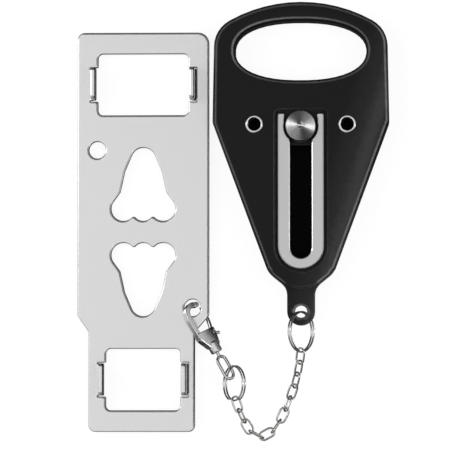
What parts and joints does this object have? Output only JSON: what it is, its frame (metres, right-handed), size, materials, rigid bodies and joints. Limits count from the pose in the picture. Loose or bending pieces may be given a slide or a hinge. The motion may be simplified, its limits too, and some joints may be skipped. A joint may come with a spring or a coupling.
{
  "type": "portable door lock",
  "caption": "Portable door lock: stamped steel strike plate with bent claws and nose-shaped openings, chained by a clasp to a black lock body with a sliding brake button.",
  "frame": {"origin": "centre of the strike plate's back face, on the bridge between the two nose-shaped openings", "axes": "+Y along the strike plate towards the end with the wider window, +Z out of the plate's front where the claws stand, +X across the plate towards the lock body"},
  "size_m": [0.1301, 0.1826, 0.0198],
  "materials": {
    "plate_steel": "fine satin brushed stainless sheet, edges bright",
    "black_plastic": "fine-grained satin moulding",
    "brake_rubber": "dull",
    "turned_chrome": "turned and plated, fine circular marks on the cap",
    "clasp_chrome": "cast and plated",
    "wire_nickel": "drawn wire, nickel plated",
    "screw_steel": "zinc-plated"
  },
  "bodies": {
    "strike_plate": {"strike_plate": "plate_steel"},
    "clasp": {"clasp_body": "clasp_chrome", "trigger_pin": "wire_nickel", "trigger_spring": "wire_nickel"},
    "trigger": {"clasp_trigger": "clasp_chrome"},
    "swivel": {"swivel_eye": "clasp_chrome"},
    "clasp_ring": {"clasp_split_ring": "wire_nickel"},
    "link_12": {"chain_link_12": "wire_nickel"},
    "link_11": {"chain_link_11": "wire_nickel"},
    "link_10": {"chain_link_10": "wire_nickel"},
    "link_09": {"chain_link_09": "wire_nickel"},
    "link_08": {"chain_link_08": "wire_nickel"},
    "link_07": {"chain_link_07": "wire_nickel"},
    "link_06": {"chain_link_06": "wire_nickel"},
    "link_05": {"chain_link_05": "wire_nickel"},
    "link_04": {"chain_link_04": "wire_nickel"},
    "link_03": {"chain_link_03": "wire_nickel"},
    "link_02": {"chain_link_02": "wire_nickel"},
    "link_01": {"chain_link_01": "wire_nickel"},
    "body_ring": {"body_split_ring": "wire_nickel"},
    "lock_body": {"body_casing": "black_plastic", "back_cover": "black_plastic", "slide_track": "plate_steel", "left_eyelet": "turned_chrome", "right_eyelet": "turned_chrome", "cover_screw_1": "screw_steel", "cover_screw_2": "screw_steel", "cover_screw_3": "screw_steel", "cover_screw_4": "screw_steel"},
    "slider": {"slide_block": "black_plastic", "knob_spring": "wire_nickel"},
    "knob": {"knob_cap": "turned_chrome", "knob_stem": "turned_chrome", "brake_shoe": "brake_rubber", "retaining_clip": "wire_nickel"}
  },
  "joints": [
    {"name": "clasp_swing", "type": "hinge", "parent": "strike_plate", "child": "clasp", "pos_m": [0.0206, -0.0317, 0.001], "axis": [0, 0, 1], "range_deg": [-4, 0]},
    {"name": "trigger_open", "type": "hinge", "parent": "clasp", "child": "trigger", "pos_m": [0.02861, -0.04213, -0.00067], "axis": [0.5633, 0.3097, 0.766], "range_deg": [0, 5], "stiffness_Nm_per_rad": 0.02},
    {"name": "swivel_turn", "type": "hinge", "parent": "clasp", "child": "swivel", "pos_m": [0.0206, -0.0317, 0.001], "axis": [0.4818, -0.8763, 0], "range_deg": [-12, 12]},
    {"name": "clasp_ring_swing", "type": "hinge", "parent": "swivel", "child": "clasp_ring", "pos_m": [0.0355, -0.05781, 0.00094], "axis": [0, 0, 1], "range_deg": [-10, 0]},
    {"name": "link_12_swing", "type": "hinge", "parent": "clasp_ring", "child": "link_12", "pos_m": [0.0381, -0.06875, 0.00494], "axis": [-0.7693, -0.3294, 0.5474], "range_deg": [-20, 0]},
    {"name": "link_11_swing", "type": "hinge", "parent": "link_12", "child": "link_11", "pos_m": [0.03988, -0.07374, 0.00466], "axis": [0.513, -0.1164, 0.8504], "range_deg": [-20, 0]},
    {"name": "link_10_swing", "type": "hinge", "parent": "link_11", "child": "link_10", "pos_m": [0.04176, -0.07836, 0.00287], "axis": [-0.7727, -0.5703, 0.2786], "range_deg": [-20, 0]},
    {"name": "link_09_swing", "type": "hinge", "parent": "link_10", "child": "link_09", "pos_m": [0.04416, -0.08279, 0.00115], "axis": [0.237, 0.0485, 0.9703], "range_deg": [-20, 0]},
    {"name": "link_08_swing", "type": "hinge", "parent": "link_09", "child": "link_08", "pos_m": [0.04854, -0.08591, 0.00005], "axis": [0.4786, -0.8779, 0.0141], "range_deg": [-20, 20]},
    {"name": "link_07_swing", "type": "hinge", "parent": "link_08", "child": "link_07", "pos_m": [0.05349, -0.08379, -0.00037], "axis": [0.1108, -0.0636, 0.9918], "range_deg": [-20, 0]},
    {"name": "link_06_swing", "type": "hinge", "parent": "link_07", "child": "link_06", "pos_m": [0.05659, -0.07949, -0.00044], "axis": [-0.8657, 0.4238, 0.2663], "range_deg": [-20, 0]},
    {"name": "link_05_swing", "type": "hinge", "parent": "link_06", "child": "link_05", "pos_m": [0.05898, -0.07476, -0.00039], "axis": [0.3668, -0.1599, 0.9165], "range_deg": [-20, 0]},
    {"name": "link_04_swing", "type": "hinge", "parent": "link_05", "child": "link_04", "pos_m": [0.06098, -0.06986, -0.00039], "axis": [-0.8352, 0.1889, 0.5165], "range_deg": [-20, 0]},
    {"name": "link_03_swing", "type": "hinge", "parent": "link_04", "child": "link_03", "pos_m": [0.06273, -0.06492, 0.00041], "axis": [0.5466, -0.4152, 0.7272], "range_deg": [-20, 0]},
    {"name": "link_02_swing", "type": "hinge", "parent": "link_03", "child": "link_02", "pos_m": [0.06419, -0.06012, 0.00213], "axis": [-0.6963, -0.0936, 0.7117], "range_deg": [-20, 0]},
    {"name": "link_01_swing", "type": "hinge", "parent": "link_02", "child": "link_01", "pos_m": [0.06513, -0.05515, 0.00366], "axis": [0.8065, -0.2471, 0.5371], "range_deg": [-20, 0]},
    {"name": "body_ring_swing", "type": "hinge", "parent": "link_01", "child": "body_ring", "pos_m": [0.0659, -0.0503, 0.0055], "axis": [-0.5878, 0, 0.809], "range_deg": [-12, 0]},
    {"name": "lock_body_swing", "type": "hinge", "parent": "body_ring", "child": "lock_body", "pos_m": [0.0659, -0.0335, 0.0055], "axis": [0, 0, 1], "range_deg": [-12, 0]},
    {"name": "button_slide", "type": "slide", "parent": "lock_body", "child": "slider", "axis": [0, -1, 0], "range_m": [0, 0.047]},
    {"name": "button_press", "type": "slide", "parent": "slider", "child": "knob", "axis": [0, 0, -1], "range_m": [0, 0.001], "stiffness_N_per_m": 900, "deforming": ["knob_spring"]}
  ]
}
